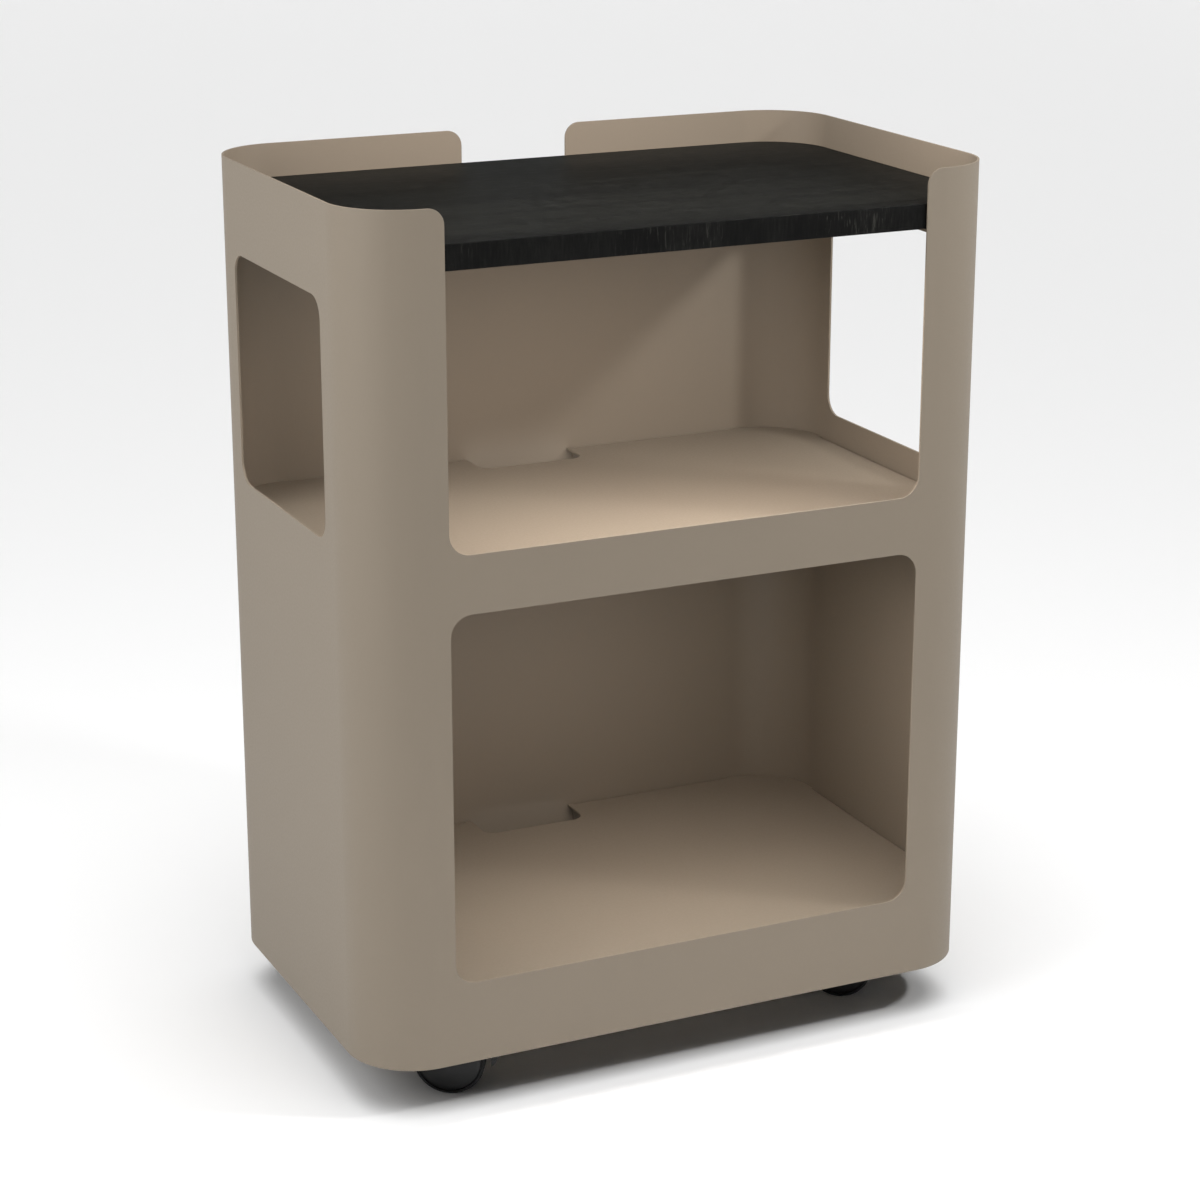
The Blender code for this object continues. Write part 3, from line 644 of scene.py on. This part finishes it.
def stained_oak():
    """Black-stained oak: long grain with open pores on the faces, short upright streaks along the edges."""
    nodes = Nodes("black_stained_oak")
    figure = nodes.noise(nodes.place((1.0, 22.0, 22.0)), 2.0, 4.0, 0.55, 0.6)
    fibre = nodes.noise(nodes.place((13.0, 360.0, 360.0)), 3.0, 3.0, 0.6)
    pores = nodes.noise(nodes.place((30.0, 700.0, 700.0)), 3.0, 2.0, 0.6)
    streak = nodes.noise(nodes.place((170.0, 170.0, 24.0)), 2.6, 3.0, 0.6, 0.4)
    patch = nodes.noise(nodes.place((9.0, 9.0, 4.0)), 1.5, 2.0)
    plank = nodes.noise(nodes.place((22.0, 22.0, 1.0)), 1.2, 2.0)
    normal = nodes.add("ShaderNodeNewGeometry").outputs["True Normal"]
    upward = nodes.add("ShaderNodeSeparateXYZ", Vector=normal).outputs["Z"]
    flatness = nodes.add("ShaderNodeMath", {"operation": "ABSOLUTE"}, i0=upward).outputs[0]
    on_face = nodes.span(flatness, 0.6, 0.8, 0, 1)
    dark, light = (0.0020, 0.0021, 0.0018, 1), (0.0060, 0.0062, 0.0052, 1)
    face = nodes.mix(nodes.span(figure, 0.30, 0.72, 0, 1), dark, light)
    face = nodes.mix(nodes.span(fibre, 0.52, 0.68, 0, 0.85), face, (0.0260, 0.0260, 0.0225, 1))
    face = nodes.mix(nodes.span(pores, 0.56, 0.64, 0, 0.9), face, (0.0008, 0.0008, 0.0008, 1))
    edge_dark, edge_light = (0.0022, 0.0022, 0.0019, 1), (0.0075, 0.0075, 0.0066, 1)
    edge = nodes.mix(nodes.span(plank, 0.40, 0.65, 0, 1), edge_dark, edge_light)
    edge = nodes.mix(nodes.span(streak, 0.40, 0.55, 0.6, 0), edge, (0.0006, 0.0006, 0.0006, 1))
    crack = nodes.add(
        "ShaderNodeMath",
        {"operation": "MULTIPLY"},
        i0=nodes.span(streak, 0.58, 0.66, 0, 0.9),
        i1=nodes.span(patch, 0.48, 0.64, 0.1, 1),
    ).outputs[0]
    edge = nodes.mix(crack, edge, (0.0340, 0.0335, 0.0285, 1))
    nodes.feed(nodes.shader, "Base Color", nodes.mix(on_face, edge, face))
    nodes.feed(nodes.shader, "Roughness", nodes.span(fibre, 0.3, 0.7, 0.46, 0.62))
    relief = nodes.mix(on_face, streak, nodes.mix(0.5, fibre, pores))
    nodes.feed(nodes.shader, "Normal", nodes.bump(relief, 0.25, 0.00025))
    nodes.shader.inputs["Specular IOR Level"].default_value = 0.10
    return nodes.material


def moulded_nylon():
    """Black moulded nylon with a fine spark-eroded texture and faint flow marks."""
    nodes = Nodes("black_nylon")
    vector = nodes.place()
    texture = nodes.noise(vector, 1800.0, 2.0)
    flow = nodes.noise(nodes.place((1, 1, 3)), 40.0, 2.0, 0.5, 0.8)
    dark, light = (0.0040, 0.0040, 0.0042, 1), (0.0065, 0.0065, 0.0067, 1)
    colour = nodes.mix(nodes.span(flow, 0.3, 0.7, 0, 1), dark, light)
    nodes.feed(nodes.shader, "Base Color", colour)
    nodes.feed(nodes.shader, "Roughness", nodes.span(texture, 0.3, 0.7, 0.40, 0.52))
    nodes.feed(nodes.shader, "Normal", nodes.bump(texture, 0.18, 0.00008))
    nodes.shader.inputs["Specular IOR Level"].default_value = 0.35
    return nodes.material


def tread_rubber():
    """Soft black tread, matt, with a little dust rubbed into it."""
    nodes = Nodes("black_tread_rubber")
    vector = nodes.place()
    scuff = nodes.noise(vector, 220.0, 4.0, 0.65)
    grain = nodes.noise(vector, 2200.0, 2.0)
    clean, dusty = (0.0045, 0.0045, 0.0045, 1), (0.0120, 0.0117, 0.0110, 1)
    colour = nodes.mix(nodes.span(scuff, 0.50, 0.75, 0, 0.5), clean, dusty)
    nodes.feed(nodes.shader, "Base Color", colour)
    nodes.feed(nodes.shader, "Roughness", nodes.span(scuff, 0.3, 0.7, 0.62, 0.80))
    nodes.feed(nodes.shader, "Normal", nodes.bump(grain, 0.25, 0.0001))
    nodes.shader.inputs["Specular IOR Level"].default_value = 0.3
    return nodes.material


def zinc_plate():
    """Bright zinc plate on steel: soft spangle in tone and gloss, with a fine drawn grain."""
    nodes = Nodes("zinc_plated_steel")
    vector = nodes.place()
    cloud = nodes.noise(vector, 160.0, 3.0)
    grain = nodes.noise(nodes.place((1, 1, 12)), 900.0, 2.0)
    colour = nodes.mix(nodes.span(cloud, 0.3, 0.7, 0, 1), (0.53, 0.53, 0.51, 1), (0.66, 0.66, 0.64, 1))
    nodes.feed(nodes.shader, "Base Color", colour)
    nodes.shader.inputs["Metallic"].default_value = 1.0
    nodes.feed(nodes.shader, "Roughness", nodes.span(cloud, 0.3, 0.7, 0.28, 0.42))
    nodes.feed(nodes.shader, "Normal", nodes.bump(grain, 0.08, 0.00005))
    return nodes.material


# ---------------------------------------------------------------- studio


def make_floor():
    """A plain pale floor that sweeps up into a wall far away: a line and an arc turned about the vertical."""
    turn = np.linspace(0, pi / 2, 24)
    reach = np.concatenate([[0.0], FLOOR_REACH + SWEEP_RADIUS * np.sin(turn), [FLOOR_REACH + SWEEP_RADIUS]])
    height = np.concatenate([[0.0], SWEEP_RADIUS * (1 - np.cos(turn)), [WALL_HEIGHT]])
    angle = np.linspace(0, 2 * pi, FLOOR_STEPS, endpoint=False)[:, None]
    across, along = reach * np.cos(angle), reach * np.sin(angle)
    points = np.stack([across, along, np.broadcast_to(height, across.shape)], axis=2)
    faces = grid_faces(FLOOR_STEPS, len(reach), wrap_rows=True)
    mesh = bpy.data.meshes.new("studio_floor")
    mesh.from_pydata(points.reshape(-1, 3).tolist(), [], faces.tolist())
    weld(mesh)
    mesh.flip_normals()
    mesh.shade_smooth()
    floor = bpy.data.objects.new("studio_floor", mesh)
    bpy.context.scene.collection.objects.link(floor)
    nodes = Nodes("pale_floor")
    nodes.shader.inputs["Base Color"].default_value = (0.90, 0.90, 0.90, 1)
    nodes.shader.inputs["Roughness"].default_value = 0.9
    nodes.shader.inputs["Specular IOR Level"].default_value = 0.1
    mesh.materials.append(nodes.material)


def add_light(name, kind, place, aim, power):
    """A light at a place, turned to face its aim."""
    light = bpy.data.lights.new(name, kind)
    light.energy = power
    light.color = WHITE
    item = bpy.data.objects.new(name, light)
    bpy.context.scene.collection.objects.link(item)
    item.location = place
    item.rotation_euler = (Vector(aim) - Vector(place)).to_track_quat("-Z", "Y").to_euler()
    return item


def add_softbox(name, place, aim, size, power):
    item = add_light(name, "AREA", place, aim, power)
    item.data.shape = "RECTANGLE"
    item.data.size, item.data.size_y = size
    item.visible_camera = False
    return item


def add_fill(name, place, aim, length, power, spread):
    """A weak warm strip that brightens what it faces and shows in no reflection."""
    item = add_softbox(name, place, aim, (length, FILL_DEPTH), power)
    item.data.color = WARM
    item.data.spread = radians(spread)
    item.visible_glossy = False


def light_studio():
    """A broad ceiling light, softboxes at the left, right and front, and three weak warm strips as fill.

    The strips lie just under the top board, just under the band between the compartments, and above the rim.
    """
    world = bpy.data.worlds.new("studio")
    world.use_nodes = True
    background = world.node_tree.nodes["Background"]
    background.inputs["Color"].default_value = (*WHITE, 1)
    background.inputs["Strength"].default_value = WORLD_STRENGTH
    bpy.context.scene.world = world
    ceiling = add_light("ceiling", "SUN", (0, 0, 3), (0, 0.05, 2), CEILING_STRENGTH)
    ceiling.data.angle = CEILING_SPREAD
    add_softbox("left_softbox", (-1.5, -0.3, 1.2), (0, 0, 0.4), (1.0, 1.0), LEFT_POWER)
    add_softbox("right_softbox", (1.07, -0.89, 1.34), (0.1, 0.1, 0.55), (0.15, 0.15), RIGHT_POWER)
    add_softbox("front_softbox", (-0.1, -1.2, 1.7), (0, 0, 0.5), (1.2, 0.8), FRONT_POWER)
    add_fill("upper_fill", (0, -0.135, 0.735), (0, -0.10, 0.48), 0.42, UPPER_FILL_POWER, 155)
    add_fill("lower_fill", (0, -0.125, 0.445), (0, -0.06, 0.11), 0.42, LOWER_FILL_POWER, 135)
    add_fill("rim_fill", (0, -0.17, 0.88), (0, 0.19, 0.775), 0.52, RIM_FILL_POWER, 180)


def add_camera():
    camera = bpy.data.objects.new("camera", bpy.data.cameras.new("camera"))
    bpy.context.scene.collection.objects.link(camera)
    camera.location = CAMERA_PLACE
    camera.rotation_euler = (pi / 2 - CAMERA_PITCH, 0, -CAMERA_YAW)
    camera.data.lens = CAMERA_LENS
    camera.data.sensor_width = 36.0
    bpy.context.scene.camera = camera


def slot_of(node):
    rows = frame["record"]["subparts"]
    return next(row["material_slot"] for row in rows if row["node"] == node)


def make_trolley():
    materials = {
        "powder_coat": powder_coat(),
        "stained_oak": stained_oak(),
        "zinc_steel": zinc_plate(),
        "black_nylon": moulded_nylon(),
        "tread_rubber": tread_rubber(),
    }
    make_body_shell(materials["powder_coat"])
    make_shelf("middle_tray", "middle_shelf", materials["powder_coat"])
    make_shelf("bottom_tray", "bottom_shelf", materials["powder_coat"])
    make_top_board(materials["stained_oak"])
    done = {"body_shell", "middle_shelf", "bottom_shelf", "top_board"}
    for corner in ("front_left", "front_right", "rear_left", "rear_right"):
        for side in ("outer", "inner"):
            make_wheel(f"caster_{corner}", side, materials)
            done |= {f"caster_{corner}_{side}_{part}" for part in ("hub", "tread")}
    for body, members in frame["record"]["behaviour"]["bodies"].items():
        for node in members:
            if node not in done:
                slot = slot_of(node)
                edge = TURNED_EDGE if slot == "zinc_steel" else MOULDED_EDGE
                refined(node, body, materials[slot], edge)


make_trolley()
make_floor()
light_studio()
add_camera()
bpy.context.scene.view_settings.view_transform = "Standard"
